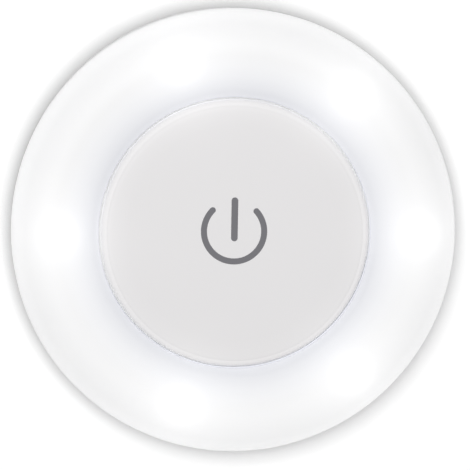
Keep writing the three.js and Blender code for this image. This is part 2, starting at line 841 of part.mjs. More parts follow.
function buttonHook() {
  const barbTop = boardBottom - hookClearance;
  const low = barbTop - hookBarbHeight;
  const barbReach = hookOuterRadius + hookBarb;
  const side = shapeOf([
    [hookInnerRadius, buttonUnderside + buttonThickness / 2],
    [hookInnerRadius, low],
    [hookOuterRadius, low],
    [barbReach, barbTop],
    [hookOuterRadius, barbTop],
    [hookOuterRadius, buttonUnderside + buttonThickness / 2],
  ]);
  const geometry = new THREE.ExtrudeGeometry(side, { depth: hookWidth, bevelEnabled: false });
  return solidOf(geometry.translate(0, 0, -hookWidth / 2).rotateX(Math.PI / 2));
}

function pushButton() {
  const root = buttonUnderside + buttonThickness / 2;
  const boss = disc(plungerBossDiameter / 2, plungerTop + plungerGap, root);
  const post = disc(springPostDiameter / 2, buttonUnderside - springPostLength, root, pinSides);
  const ribStart = plungerBossDiameter / 2 - ribThickness;
  const ribEnd = buttonRadius - buttonSkirtWall / 2;
  const half = ribThickness / 2;
  const rib = block([ribStart, -half, buttonUnderside - ribDepth], [ribEnd, half, root]);
  const ribDegrees = Array.from({ length: ribCount }, (_, i) => (360 / ribCount) * i);
  return joined(
    buttonCap(),
    boss,
    ...allRound(ribDegrees, rib),
    ...allRound(cornerDegrees, buttonHook()),
    ...allRound(cellDegrees, post, springPitchRadius),
  );
}

function buttonSpring() {
  const radius = (springDiameter - springWire) / 2;
  const length = buttonUnderside - boardTop - 2 * springTouch;
  const coil = wound(radius, radius, springWire / 2, springTurns, length);
  return coil.translate([0, 0, boardTop + springTouch]);
}

// Assembly: copies of a piece stand in groups turned about Z.

function copies(name, material, solid, degreesList, outwards = 0) {
  return degreesList.map((degrees, i) => {
    const holder = new THREE.Group();
    const mesh = piece(degreesList.length > 1 ? name + "_" + (i + 1) : name, material, solid);
    mesh.position.x = outwards;
    holder.rotation.z = THREE.MathUtils.degToRad(degrees);
    return holder.add(mesh);
  });
}

function buildBase() {
  const group = new THREE.Group();
  const upperPad = piece("adhesive_pad_upper", foamWhite, adhesivePad());
  const lowerPad = piece("adhesive_pad_lower", foamWhite, adhesivePad());
  upperPad.position.y = padPitch / 2;
  lowerPad.position.y = -padPitch / 2;
  return group.add(piece("mounting_base", whiteShell, mountingBase()), upperPad, lowerPad);
}

function buildLamp() {
  const group = new THREE.Group();
  const turns = cellDegrees.map((degrees) => degrees - cellDegrees[0]);
  const bridge = bentStrip(bridgeLine(), contactThickness, contactBottom, contactTop);
  const springTerminal = mirroredInX(nubTerminal());
  group.add(piece("rear_housing", whiteShell, rearHousing()));
  group.add(...copies("battery_cell", cellWrap, cell(), turns));
  group.add(...copies("cell_spring", springSteel, cellSpring(), turns));
  group.add(...copies("bridge_contact", plateNickel, bridge, turns.slice(0, -1)));
  group.add(...copies("positive_terminal", plateNickel, nubTerminal(), turns.slice(-1)));
  group.add(...copies("negative_terminal", plateNickel, springTerminal, turns.slice(-2, -1)));
  group.add(piece("circuit_board", boardWhite, circuitBoard()));
  group.add(...copies("led", ledPackage, led(), ledDegrees, ledPitchRadius));
  group.add(...copies("resistor", chipBlack, resistor(), ledDegrees, resistorPitchRadius));
  group.add(piece("switch_body", chipBlack, switchBody()));
  group.add(piece("reflector_ring", reflectorWhite, reflectorRing()));
  group.add(...copies("board_screw", springSteel, boardScrew(), cellDegrees, bossPitchRadius));
  group.add(piece("ring_lens", milkyLens, ringLens()));
  return group;
}

function buildButton() {
  const group = new THREE.Group();
  group.add(piece("push_button", buttonWhite, pushButton()));
  group.add(piece("switch_plunger", chipBlack, switchPlunger()));
  group.add(...copies("button_spring", springSteel, buttonSpring(), cellDegrees, springPitchRadius));
  return group;
}

const pushLight = new THREE.Group();
pushLight.add(buildBase(), buildLamp(), buildButton());

export default pushLight;
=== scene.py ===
import math

import bmesh
import bpy
from mathutils import Matrix, Vector


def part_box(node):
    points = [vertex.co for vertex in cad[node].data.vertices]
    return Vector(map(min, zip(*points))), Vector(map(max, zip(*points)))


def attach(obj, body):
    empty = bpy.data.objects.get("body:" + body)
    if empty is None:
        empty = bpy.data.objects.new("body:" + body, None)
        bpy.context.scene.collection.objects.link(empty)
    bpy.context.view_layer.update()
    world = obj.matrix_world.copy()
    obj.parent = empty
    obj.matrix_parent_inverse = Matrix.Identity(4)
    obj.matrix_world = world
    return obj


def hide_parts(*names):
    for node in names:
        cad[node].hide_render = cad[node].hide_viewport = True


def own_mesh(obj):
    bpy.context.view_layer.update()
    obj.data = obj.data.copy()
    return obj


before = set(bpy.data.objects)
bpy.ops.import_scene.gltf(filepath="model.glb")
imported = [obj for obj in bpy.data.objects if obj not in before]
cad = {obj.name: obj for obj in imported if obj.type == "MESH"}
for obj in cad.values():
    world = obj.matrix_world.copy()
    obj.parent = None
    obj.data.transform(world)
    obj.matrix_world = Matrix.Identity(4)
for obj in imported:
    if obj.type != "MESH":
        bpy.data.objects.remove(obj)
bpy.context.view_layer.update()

MM = 0.001
scene = bpy.context.scene
scene.view_settings.view_transform = "Standard"


# Camera: nearly straight above the lit face, a little up and to the left of its middle, and far off.
camera_tilt = Vector((-0.0488, 0.09, 1)).normalized()
camera_target = Vector((0, 0, 15)) * MM
camera_distance = 1.185
camera_data = bpy.data.cameras.new("camera")
camera_data.lens = 474
camera_data.shift_x = 0.0041
camera_data.shift_y = -0.0104
camera_data.clip_end = 20
camera = bpy.data.objects.new("camera", camera_data)
camera.location = camera_target + camera_tilt * camera_distance
camera_right = Vector((0, 1, 0)).cross(camera_tilt).normalized()
camera_axes = Matrix((camera_right, camera_tilt.cross(camera_right), camera_tilt)).transposed()
camera.rotation_euler = camera_axes.to_euler()
scene.collection.objects.link(camera)
scene.camera = camera


# Table and light: a plain white table that keeps the shadow, one broad lamp overhead and a plain pale room.
# Near the light the table's white carries a painted contact shade. Away from the light the table's painted
# pool of light fades to the room's grey, so that the lit ring stands out from all sides.
table_size = 6
table_height = -0.02
fade_start, fade_end = 66, 160
table_white, table_white_lost = 0.95, 0.04
table_glow = 0.16
painted_shade_reach = 4.3
room_light = 0.28
room_grey = 0.84
full_light = 0.92
lamp_tilt = Vector((-0.09, 0.176, 1))
lamp_spread = 24


class Shade:
    """An output of a node. Arithmetic on it adds Math nodes, and node() adds any other node."""

    def __init__(self, tree, socket=None):
        self.tree = tree
        self.socket = socket

    def node(self, kind, settings=None, inputs=None, output=0):
        made = self.tree.nodes.new(kind)
        for name, setting in (settings or {}).items():
            if name == "stops":
                made.color_ramp.elements.remove(made.color_ramp.elements[1])
                for i, (place, colour) in enumerate(setting):
                    stop = made.color_ramp.elements[0] if i == 0 else made.color_ramp.elements.new(place)
                    stop.position = place
                    stop.color = colour
            else:
                setattr(made, name, setting)
        for name, value in (inputs or {}).items():
            if isinstance(value, Shade):
                self.tree.links.new(value.socket, made.inputs[name])
            else:
                made.inputs[name].default_value = value
        return Shade(self.tree, made.outputs[output] if made.outputs else None)

    def math(self, operation, *values):
        return self.node("ShaderNodeMath", {"operation": operation}, dict(enumerate(values)))

    def __add__(self, other):
        return self.math("ADD", self, other)

    def __radd__(self, other):
        return self.math("ADD", other, self)

    def __sub__(self, other):
        return self.math("SUBTRACT", self, other)

    def __rsub__(self, other):
        return self.math("SUBTRACT", other, self)

    def __mul__(self, other):
        return self.math("MULTIPLY", self, other)

    def __rmul__(self, other):
        return self.math("MULTIPLY", other, self)


def new_material(name):
    """An empty material, and the point in the object's own space that its patterns are read at."""
    material = bpy.data.materials.new(name)
    material.use_nodes = True
    material.node_tree.nodes.clear()
    point = Shade(material.node_tree).node("ShaderNodeTexCoord", output="Object")
    return material, point


def grey(level):
    """A colour whose three parts are all at that level."""
    return level.node("ShaderNodeCombineColor", None, {"Red": level, "Green": level, "Blue": level})


def seen_by_eye(shade):
    """1 on a ray from the camera, also in gloss and through glass, and 0 on one that lights a surface."""
    direct, in_gloss, through = (
        shade.node("ShaderNodeLightPath", output=ray)
        for ray in ("Is Camera Ray", "Is Glossy Ray", "Is Transmission Ray")
    )
    return shade.math("MAXIMUM", shade.math("MAXIMUM", direct, in_gloss), through)


def table_material():
    material, point = new_material("white_table")
    distance = point.node("ShaderNodeVectorMath", {"operation": "LENGTH"}, {0: point}, "Value")
    limits = {"Value": distance, "From Min": fade_start * MM, "From Max": fade_end * MM}
    far = point.node("ShaderNodeMapRange", {"interpolation_type": "SMOOTHSTEP"}, limits)
    # Painted contact shade: ambient occlusion darkens the table's white within this reach of the light, and
    # the white and the glow fade with distance as a painted pool of light.
    reach = {"Distance": painted_shade_reach * MM}
    painted_contact_shade = point.node("ShaderNodeAmbientOcclusion", {"samples": 8}, reach, "AO")
    white = painted_contact_shade * (table_white - far * table_white_lost)
    shade = point.node("ShaderNodeBsdfDiffuse", None, {"Color": grey(white)})
    strength = seen_by_eye(point) * table_glow * (1 - far)
    glow = point.node("ShaderNodeEmission", None, {"Color": (1, 1, 1, 1), "Strength": strength})
    both = point.node("ShaderNodeAddShader", None, {0: shade, 1: glow})
    point.node("ShaderNodeOutputMaterial", None, {"Surface": both})
    return material


bpy.ops.object.select_all(action="DESELECT")
bpy.ops.mesh.primitive_plane_add(size=table_size, location=(0, 0, table_height * MM))
table = bpy.context.object
table.name = "table"
table.data.materials.append(table_material())

world = bpy.data.worlds.new("room")
scene.world = world
world.use_nodes = True
world.node_tree.nodes.clear()
room = Shade(world.node_tree)
strength = seen_by_eye(room) * (room_grey - room_light) + room_light
backdrop = room.node("ShaderNodeBackground", None, {"Color": (1, 1, 1, 1), "Strength": strength})
room.node("ShaderNodeOutputWorld", None, {"Surface": backdrop})

lamp_data = bpy.data.lights.new("overhead_lamp", "SUN")
lamp_data.energy = math.pi * (full_light - room_light)
lamp_data.angle = math.radians(lamp_spread)
overhead_lamp = bpy.data.objects.new("overhead_lamp", lamp_data)
overhead_lamp.rotation_euler = lamp_tilt.to_track_quat("Z", "Y").to_euler()
scene.collection.objects.link(overhead_lamp)


# Foam pads: two strips of white closed-cell foam tape that hold the base to the cabinet. They are die-cut
# with round corners, and their edges are a little crushed.
pad_size = (46, 14, 1)
pad_offset = 18
pad_corner = 3
pad_crush = 0.2


def surface(point, **sockets):
    """A Principled surface for the point's material. A space in a socket's name is written as _."""
    inputs = {name.replace("_", " "): value for name, value in sockets.items()}
    shader = point.node("ShaderNodeBsdfPrincipled", None, inputs)
    point.node("ShaderNodeOutputMaterial", None, {"Surface": shader})


def tinted(point, share, first, second):
    """A colour between two, by a share from 0 to 1."""
    return point.node("ShaderNodeMix", {"data_type": "RGBA"}, {0: share, 6: first, 7: second}, output=2)


def bumped(point, height, distance):
    """The surface's normal, tilted by a height from 0 to 1 over that distance."""
    return point.node("ShaderNodeBump", None, {"Height": height, "Distance": distance})


def select_edges(test):
    """In edit mode, selects the edges whose two ends, in mm, pass the test."""
    shape = bmesh.from_edit_mesh(bpy.context.object.data)
    bpy.context.tool_settings.mesh_select_mode = (False, True, False)
    for edge in shape.edges:
        edge.select_set(test(*(vert.co / MM for vert in edge.verts)))
    bmesh.update_edit_mesh(bpy.context.object.data)


def start_block(name, size, centre):
    """A block of that size and centre in mm, in edit mode and selected all over."""
    bpy.ops.object.select_all(action="DESELECT")
    bpy.ops.mesh.primitive_cube_add(size=MM)
    bpy.context.object.name = name
    bpy.ops.object.mode_set(mode="EDIT")
    bpy.ops.mesh.select_all(action="SELECT")
    bpy.ops.transform.resize(value=size)
    bpy.ops.transform.translate(value=Vector(centre) * MM)
    return bpy.context.object


def finished(material, smooth_angle=35):
    """Leaves edit mode, smooths the faces and gives the piece its material."""
    bpy.ops.object.mode_set(mode="OBJECT")
    bpy.ops.object.shade_smooth_by_angle(angle=math.radians(smooth_angle))
    made = bpy.context.object
    made.data.materials.clear()
    made.data.materials.append(material)
    return made


def foam_material():
    material, point = new_material("foam")
    inputs = {"Vector": point, "Scale": 3600}
    cells = point.node("ShaderNodeTexVoronoi", {"feature": "F1"}, inputs, "Distance")
    colour = tinted(point, cells, (0.70, 0.71, 0.68, 1), (0.82, 0.83, 0.80, 1))
    surface(point, Base_Color=colour, Roughness=0.92, Normal=bumped(point, cells, 0.08 * MM))
    return material


foam = foam_material()
for name, offset, node in (
    ("foam_pad_upper", pad_offset, "adhesive_pad_upper"),
    ("foam_pad_lower", -pad_offset, "adhesive_pad_lower"),
):
    pad = start_block(name, pad_size, (0, offset, pad_size[2] / 2))
    select_edges(lambda a, b: abs(a.z - b.z) > pad_size[2] / 2)
    bpy.ops.mesh.bevel(offset=pad_corner * MM, segments=8, affect="EDGES")
    select_edges(lambda a, b: abs(a.z - b.z) < pad_size[2] / 2)
    bpy.ops.mesh.bevel(offset=pad_crush * MM, segments=3, affect="EDGES")
    finished(foam)
    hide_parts(node)
    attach(pad, "base")


# Mounting base: a white moulding that stays on the cabinet. Its round plate has two countersunk screw
# holes, and the lugs on its ring hold the lamp's lip.
plate_radius = 39.79
plate_back, plate_top = 1, 2.8
plate_back_round, plate_top_round = 0.44, 0.3
base_core = [(0, 0), (38.9, 0), (38.9, 9), (0, 9)]
base_skin = 38.8
merge_reach = 0.0005


def grain(point, scale, detail=2.0):
    """Noise from 0 to 1, at so many cells to the metre."""
    inputs = {"Vector": point, "Scale": scale, "Detail": detail}
    return point.node("ShaderNodeTexNoise", {"noise_dimensions": "3D"}, inputs)


def shell_material():
    """Satin white plastic, with the fine even grain of a spark-eroded mould."""
    material, point = new_material("shell_plastic")
    fine = grain(point, 4200, 3)
    slow = grain(point, 42)
    colour = tinted(point, slow, (0.815, 0.815, 0.82, 1), (0.85, 0.85, 0.855, 1))
    rough = 0.36 + fine * 0.1 + slow * 0.06
    surface(point, Base_Color=colour, Roughness=rough, Normal=bumped(point, fine, 0.015 * MM))
    return material


def arc(centre, across, up, start, end, steps):
    """Points in mm on a stretch of an ellipse, from one angle to another in degrees."""
    turns = [math.radians(start + (end - start) * i / steps) for i in range(steps + 1)]
    return [(centre[0] + across * math.cos(t), centre[1] + up * math.sin(t)) for t in turns]


def rounded(radius, height, size, start, steps):
    """A quarter round in mm on a rim: its lower edge from -90 degrees, or its upper edge from 0."""
    middle = height + size if start < 0 else height - size
    return arc((radius - size, middle), size, size, start, start + 90, steps)


def start_turned(name, profile, steps=192):
    """A closed profile of (radius, height) points in mm, spun about the light's axis, in edit mode."""
    bpy.ops.object.select_all(action="DESELECT")
    bpy.ops.mesh.primitive_plane_add(size=MM)
    bpy.context.object.name = name
    bpy.ops.object.mode_set(mode="EDIT")
    bpy.ops.mesh.select_mode(type="VERT")
    bpy.ops.mesh.select_all(action="SELECT")
    bpy.ops.mesh.merge(type="CENTER")
    points = [Vector((radius, 0, height)) * MM for radius, height in profile]
    if points[0].x > 0:
        points.append(points[0])
    bpy.ops.transform.translate(value=points[0])
    for before, after in zip(points, points[1:]):
        bpy.ops.mesh.extrude_vertices_move(TRANSFORM_OT_translate={"value": after - before})
    bpy.ops.mesh.select_all(action="SELECT")
    bpy.ops.mesh.spin(steps=steps, angle=2 * math.pi, center=(0, 0, 0), axis=(0, 0, 1))
    bpy.ops.mesh.select_all(action="SELECT")
    bpy.ops.mesh.remove_doubles(threshold=2 * merge_reach * MM)
    bpy.ops.mesh.normals_make_consistent(inside=False)
    return bpy.context.object


def start_merged():
    """Puts the active piece in edit mode, selected all over, and merges the points that fall together."""
    bpy.ops.object.mode_set(mode="EDIT")
    bpy.ops.mesh.select_all(action="SELECT")
    bpy.ops.mesh.remove_doubles(threshold=merge_reach * MM)


def combine(piece, tool, operation):
    """Cuts or joins the piece with another, which is used up."""
    bpy.ops.object.select_all(action="DESELECT")
    bpy.context.view_layer.objects.active = piece
    piece.select_set(True)
    change = piece.modifiers.new(operation.lower(), "BOOLEAN")
    change.operation = operation
    change.object = tool
    bpy.ops.object.modifier_apply(modifier=change.name)
    bpy.data.objects.remove(tool)


def resurfaced(name, node, core, skin, material):
    """The CAD node inside a turned core, joined to a finer turned skin that gives it its outer faces."""
    piece = cad[node].copy()
    piece.data = cad[node].data.copy()
    piece.name = name
    scene.collection.objects.link(piece)
    bpy.ops.object.select_all(action="DESELECT")
    bpy.context.view_layer.objects.active = piece
    piece.select_set(True)
    start_merged()
    bpy.ops.object.mode_set(mode="OBJECT")
    bpy.ops.mesh.customdata_custom_splitnormals_clear()
    for profile, operation in ((core, "INTERSECT"), (skin, "UNION")):
        tool = start_turned("tool", profile)
        bpy.ops.object.mode_set(mode="OBJECT")
        combine(piece, tool, operation)
    start_merged()
    bpy.ops.mesh.dissolve_degenerate(threshold=merge_reach * MM)
    finished(material)
    even = piece.modifiers.new("even_shading", "WEIGHTED_NORMAL")
    even.keep_sharp = True
    bpy.ops.object.modifier_apply(modifier=even.name)
    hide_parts(node)
    return piece


shell_plastic = shell_material()
base_plate = resurfaced(
    "base_moulding",
    "mounting_base",
    base_core,
    [
        (base_skin, plate_back),
        *rounded(plate_radius, plate_back, plate_back_round, -90, 5),
        *rounded(plate_radius, plate_top, plate_top_round, 0, 4),
        (base_skin, plate_top),
    ],
    shell_plastic,
)
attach(base_plate, "base")


# Rear housing: the lamp's white side wall and tray in one moulding, a little narrower at the foot than at
# the seam. Underneath it has the wells for the cells, the pit for the switch and the bayonet lip.
side_radius = 42.492
seam_height = 14.0
seam_round = 0.28
foot_radius = 41.99
foot_height = 1.4
foot_round = 0.9
housing_core = [(0, 0), (41.0, 0), (41.0, 20), (0, 20)]
housing_skin = 40.9

housing = resurfaced(
    "housing_moulding",
    "rear_housing",
    housing_core,
    [
        (housing_skin, foot_height),
        *rounded(foot_radius, foot_height, foot_round, -90, 10),
        *rounded(side_radius, seam_height, seam_round, 0, 6),
        (housing_skin, seam_height),
    ],
    shell_plastic,
)
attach(housing, "lamp")


# Battery cells: three AAA cells that lie in a triangle in the housing's wells. Each is a steel can in a
# plain dark shrink sleeve, with the bare metal showing at both ends.
cell_turns = (0, 120, 240)
cell_centre = 1.0
sleeve_half_length = 21.0


def turned_back(point, degrees):
    """The point as it lies before its piece was turned about the light's axis."""
    inputs = {"Vector": point, "Angle": math.radians(-degrees)}
    return point.node("ShaderNodeVectorRotate", {"rotation_type": "Z_AXIS"}, inputs)


def part_of(point, axis):
    """One coordinate of the point, in mm."""
    return point.node("ShaderNodeSeparateXYZ", None, {"Vector": point}, axis) * (1 / MM)


def cell_material(degrees):
    material, point = new_material("cell_sleeve")
    from_centre = point.math("ABSOLUTE", part_of(turned_back(point, degrees), "X") - cell_centre)
    bare = point.math("GREATER_THAN", from_centre, sleeve_half_length)
    scuff = grain(point, 900, 4)
    sleeve = tinted(point, scuff, (0.085, 0.1, 0.125, 1), (0.13, 0.15, 0.18, 1))
    colour = tinted(point, bare, sleeve, (0.62, 0.61, 0.59, 1))
    surface(point, Base_Color=colour, Metallic=bare, Roughness=0.26 + scuff * 0.16)
    return material


def dress(node, material):
    """Gives a CAD node its material."""
    cad[node].data.materials.clear()
    cad[node].data.materials.append(material)


for number, turn in enumerate(cell_turns, 1):
    dress(f"battery_cell_{number}", cell_material(turn))


# Cell springs: tapered coils wound from bright spring wire. Each is held at the end of its well and presses
# its cell against the contact plate at the other end.
cell_coil_turns = 3
cell_coil_radii = (3.15, 1.65)
cell_wire_radius = 0.25
steps_per_turn = 32


def steel_material():
    material, point = new_material("spring_steel")
    drawn = grain(point, 2600, 3)
    colour = tinted(point, drawn, (0.46, 0.46, 0.47, 1), (0.62, 0.62, 0.63, 1))
    surface(point, Base_Color=colour, Metallic=1.0, Roughness=0.2 + drawn * 0.18)
    return material


def box_of(node):
    """The lowest and the highest corner of a CAD node's box, in mm."""
    return [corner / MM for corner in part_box(node)]


def middle_of(node):
    low, high = box_of(node)
    return (low + high) / 2


def coil(turns, radii, ends):
    """Points in mm along a coil, as two parts across its axis and one along it, between the two ends."""
    steps = int(turns * steps_per_turn)
    points = []
    for i in range(steps + 1):
        share = i / steps
        radius = radii[0] + (radii[1] - radii[0]) * share
        turn = share * turns * 2 * math.pi
        along = ends[0] + (ends[1] - ends[0]) * share
        points.append((radius * math.cos(turn), radius * math.sin(turn), along))
    return points


def wire(name, points, radius, material):
    """A round wire along points in mm, with closed ends."""
    bpy.ops.object.select_all(action="DESELECT")
    bpy.ops.curve.primitive_bezier_curve_add()
    strand = bpy.context.object
    strand.name = name
    strand.location = (0, 0, 0)
    curve = strand.data
    curve.splines.clear()
    line = curve.splines.new("POLY")
    line.points.add(len(points) - 1)
    for spot, point in zip(line.points, points):
        spot.co = (*(Vector(point) * MM), 1)
    curve.dimensions = "3D"
    curve.bevel_depth = radius * MM
    curve.bevel_resolution = 3
    curve.use_fill_caps = True
    bpy.ops.object.convert(target="MESH")
    start_merged()
    bpy.ops.mesh.normals_make_consistent(inside=False)
    return finished(material, 60)


def turned_copy(piece, name, degrees):
    """A copy with its own mesh, turned about the light's axis."""
    bpy.ops.object.select_all(action="DESELECT")
    twin = piece.copy()
    twin.data = piece.data.copy()
    twin.name = name
    scene.collection.objects.link(twin)
    bpy.context.view_layer.objects.active = twin
    twin.select_set(True)
    twin.rotation_euler.z = math.radians(degrees)
    bpy.ops.object.transform_apply(location=True, rotation=True, scale=True)
    return twin


spring_steel = steel_material()
low, high = box_of("cell_spring_1")
centre = middle_of("cell_spring_1")
cell_coil_ends = (low.x + cell_wire_radius, high.x - cell_wire_radius)
cell_coil = [
    (along, centre.y + across, centre.z + up)
    for up, across, along in coil(cell_coil_turns, cell_coil_radii, cell_coil_ends)
]
conical_spring = wire("conical_spring", cell_coil, cell_wire_radius, spring_steel)
for number, turn in enumerate(cell_turns, 1):
    spring = turned_copy(conical_spring, f"conical_spring_{number}", turn)
    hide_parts(f"cell_spring_{number}")
    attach(spring, "lamp")
bpy.data.objects.remove(conical_spring)


# Contact plates: strips of nickel-plated spring steel, bent round the corners between the cells and pushed
# into slots in the wells. The two terminals have tabs that are soldered to the board.
def nickel_material():
    material, point = new_material("plate_nickel")
    rolled = grain(point.node("ShaderNodeMapping", None, {"Vector": point, "Scale": (1, 1, 14)}), 700, 3)
    colour = tinted(point, rolled, (0.58, 0.56, 0.52, 1), (0.68, 0.66, 0.62, 1))
    surface(point, Base_Color=colour, Metallic=1.0, Roughness=0.24 + rolled * 0.16)
    return material


plate_nickel = nickel_material()
for node in ("bridge_contact_1", "bridge_contact_2", "positive_terminal", "negative_terminal"):
    dress(node, plate_nickel)


# Circuit board: a round glass-fibre laminate on the housing's bosses. Its copper fields show faintly under
# the white solder mask, and a painted glow at the foot of the groove round the button stands for the light
# that leaks onto it.
inner_copper = (20.8, 3.8)
outer_copper = (31.5, 6.1)
copper_slit = 0.014
painted_leak_ring = (25.2, 0.7)
painted_leak_glow = 0.18


def from_axis(point):
    """How far in mm a point of the surface is from the light's axis."""
    x, y = part_of(point, "X"), part_of(point, "Y")
    return x.math("SQRT", x * x + y * y)


def board_material():
    material, point = new_material("board_laminate")
    radius = from_axis(point)
    fields = point.math("COMPARE", radius, *inner_copper) + point.math("COMPARE", radius, *outer_copper)
    bearing = point.math("ARCTAN2", part_of(point, "Y"), part_of(point, "X")) + math.radians(30)
    from_slit = point.math("PINGPONG", bearing, math.radians(30))
    copper = fields * point.math("GREATER_THAN", from_slit, copper_slit)
    fibre = grain(point, 2400)
    mask = tinted(point, copper, (0.83, 0.84, 0.80, 1), (0.88, 0.885, 0.85, 1))
    surface(
        point,
        Base_Color=mask,
        Roughness=0.34 + fibre * 0.12,
        # Painted glow: a faint ring of emitted light where light would leak down the groove.
        Emission_Color=grey(point.math("COMPARE", radius, *painted_leak_ring) * painted_leak_glow),
        Emission_Strength=1.0,
        Normal=bumped(point, copper, 0.035 * MM),
    )
    return material


dress("circuit_board", board_material())


# LEDs: six white packages that are soldered to the board. Each has a round window of yellow phosphor, which
# shines when the light is on.
led_degrees = (0, 51, 109, 180, 251, 309)
led_radius = middle_of("led_1").x
led_top = box_of("led_1")[1].z
window_depth = 0.2


def led_material():
    material, point = new_material("led_package")
    window = point.math("GREATER_THAN", part_of(point, "Z"), led_top - window_depth)
    surface(
        point,
        Base_Color=tinted(point, window, (0.84, 0.84, 0.82, 1), (0.88, 0.74, 0.30, 1)),
        Roughness=0.3 + grain(point, 3000) * 0.1,
        Emission_Color=tinted(point, window, (0, 0, 0, 1), (1, 0.96, 0.88, 1)),
        Emission_Strength=3.0,
    )
    return material


led_package = led_material()
for number in range(1, len(led_degrees) + 1):
    dress(f"led_{number}", led_package)


# Resistors: six black ceramic chips that set the current of the LEDs. Each has tinned caps at both ends, by
# which it is soldered to the board beside its LED.
tin = (0.66, 0.66, 0.65, 1)
cap_start = 1.1


def resistor_material(degrees):
    material, point = new_material("chip_resistor")
    reach = point.math("ABSOLUTE", part_of(turned_back(point, degrees), "Y"))
    cap = point.math("GREATER_THAN", reach, cap_start)
    colour = tinted(point, cap, (0.02, 0.02, 0.022, 1), tin)
    surface(point, Base_Color=colour, Metallic=cap, Roughness=0.3 + grain(point, 3000) * 0.2)
    return material


for number, degrees in enumerate(led_degrees, 1):
    dress(f"resistor_{number}", resistor_material(degrees))


# Switch: a latching push switch under the board. Its body is moulded in black, with tinned pins through the
# board, and its plunger is a lighter nylon.
pin_start = box_of("circuit_board")[0].z + 0.02


def switch_material(name, dark, light, pins):
    material, point = new_material(name)
    pin = point.math("GREATER_THAN", part_of(point, "Z"), pin_start) * pins
    fine = grain(point, 3400, 3)
    surface(
        point,
        Base_Color=tinted(point, pin, tinted(point, fine, dark, light), tin),
        Metallic=pin,
        Roughness=0.42 + fine * 0.16,
        Normal=bumped(point, fine, 0.01 * MM),
    )
    return material


switch_black = switch_material("switch_black", (0.02, 0.02, 0.022, 1), (0.035, 0.035, 0.037, 1), 1)
plunger_nylon = switch_material("plunger_nylon", (0.09, 0.09, 0.095, 1), (0.12, 0.12, 0.125, 1), 0)
dress("switch_body", switch_black)
dress("switch_plunger", plunger_nylon)


# Reflector: a matt white moulded ring that lies over the board, with a window for each LED. The board's
# screws hold it down too.
def reflector_material():
    material, point = new_material("reflector_white")
    fine = grain(point, 3000, 3)
    colour = tinted(point, fine, (0.88, 0.88, 0.88, 1), (0.91, 0.91, 0.91, 1))
    surface(point, Base_Color=colour, Roughness=0.6 + fine * 0.12, Normal=bumped(point, fine, 0.01 * MM))
    return material


dress("reflector_ring", reflector_material())


# Board screws: three zinc-plated pan-head screws with a cross recess. They go through the reflector and the
# board, and cut their own thread in the housing's bosses.
head_height = 1.1
head_radius, head_edge, head_round = 1.88, 0.34, 0.75
recess_arms = ((2.1, 0.55, 1.3), (0.55, 2.1, 1.3))
tip_radius, tip_length = 0.5, 0.7
thread_start, thread_pitch, thread_count = 0.8, 0.75, 7
thread_root, thread_crest, thread_flank = 0.78, 1.0, 0.25
shank_radius, shank_length = 0.98, 0.4

low, high = box_of("board_screw_1")
seat = high.z - head_height
screw_profile = [(0, low.z), (tip_radius, low.z + tip_length)]
for i in range(thread_count):
    root = low.z + thread_start + thread_pitch * i
    crest = root + thread_flank
    screw_profile += [(thread_root, root), (thread_crest, crest), (thread_root, crest + thread_flank)]
screw_profile += [
    (shank_radius, seat - shank_length),
    (shank_radius, seat),
    (head_radius, seat),
    *rounded(head_radius, seat + head_edge + head_round, head_round, 0, 8),
    (0, seat + head_edge + head_round),
]
pan_screw = start_turned("pan_screw", screw_profile, 48)
bpy.ops.object.mode_set(mode="OBJECT")
for size in recess_arms:
    blade = start_block("blade", size, (0, 0, high.z))
    bpy.ops.object.mode_set(mode="OBJECT")
    combine(pan_screw, blade, "DIFFERENCE")
pan_screw.location.y = middle_of("board_screw_1").y * MM
bpy.ops.object.transform_apply(location=True, rotation=True, scale=True)
finished(spring_steel, 40)
for number, turn in enumerate(cell_turns, 1):
    screw = turned_copy(pan_screw, f"pan_screw_{number}", turn)
    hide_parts(f"board_screw_{number}")
    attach(screw, "lamp")
bpy.data.objects.remove(pan_screw)


# Ring lens: one moulding of milky translucent plastic, whose spigot stands in the housing's trough. It
# rises over a round shoulder to its crest over the LEDs, falls a little to the button, and carries a
# painted glow of their light.
crest_radius, crest_height = 34.3, 22.0
shoulder_height = 15.7
shoulder_reach = side_radius - crest_radius
shoulder_rise = crest_height - shoulder_height
inner_reach, inner_fall = 8.98, 1.473
lens_bore, bore_foot = 25.892, 18.0
lip_height, lip_round = 20.773, 0.4
lens_wall = 1.5
inner_roof, inner_roof_rise = 19.5, 1.0
outer_roof_rise = 4.8
lens_foot = 14.3
spigot_inner, spigot_outer = 39.39, 40.39
spigot_foot, spigot_root = 12.4, 15.2
lens_profile = [
    (spigot_inner, spigot_foot),
    (spigot_outer, spigot_foot),
    (spigot_outer, lens_foot),
    *rounded(side_radius, lens_foot, seam_round, -90, 6),
    *arc((crest_radius, shoulder_height), shoulder_reach, shoulder_rise, 0, 90, 40),
    *arc((crest_radius, crest_height - inner_fall), inner_reach, inner_fall, 90, 155, 24)[1:],
    *arc((lens_bore + lip_round, lip_height), lip_round, lip_round, 109.6, 180, 8)[1:],
    (lens_bore, bore_foot),
    (lens_bore + lens_wall, bore_foot),
    *arc((crest_radius, inner_roof), crest_radius - lens_bore - lens_wall, inner_roof_rise, 180, 90, 12),
    *arc((crest_radius, shoulder_height), shoulder_reach - lens_wall, outer_roof_rise, 90, 0, 16)[1:],
    (spigot_inner, spigot_root),
]
